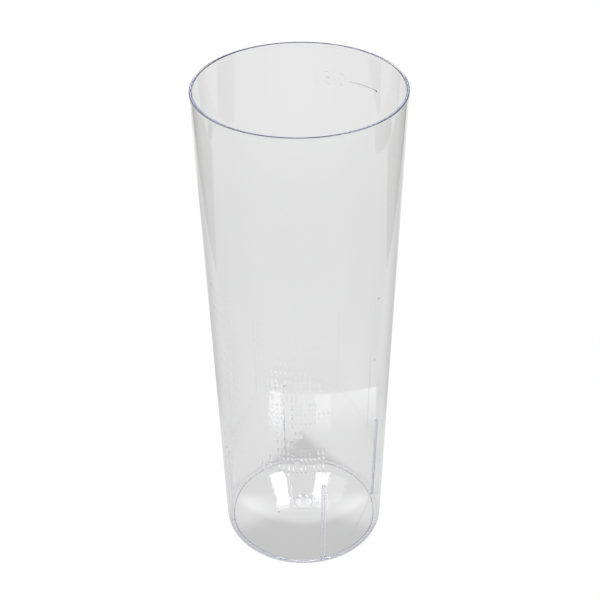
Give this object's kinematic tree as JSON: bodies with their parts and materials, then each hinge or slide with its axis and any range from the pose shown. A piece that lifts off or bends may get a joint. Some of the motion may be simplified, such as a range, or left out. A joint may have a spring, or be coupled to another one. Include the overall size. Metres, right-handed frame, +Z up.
{
  "type": "plastic tumbler cup",
  "caption": "Tall, slim, slightly conical drinking tumbler in clear moulded plastic, open at the top, with stacking ribs inside and a fill line near the lip.",
  "frame": {"origin": "centre of the ring the cup stands on, at table height", "axes": "+Z up through the open mouth, +X towards the right of the pictured view, +Y away from the viewer"},
  "size_m": [0.058, 0.058, 0.153],
  "materials": {
    "clear_plastic": "polished, transparent"
  },
  "bodies": {
    "root": {"tumbler": "clear_plastic"}
  },
  "joints": []
}
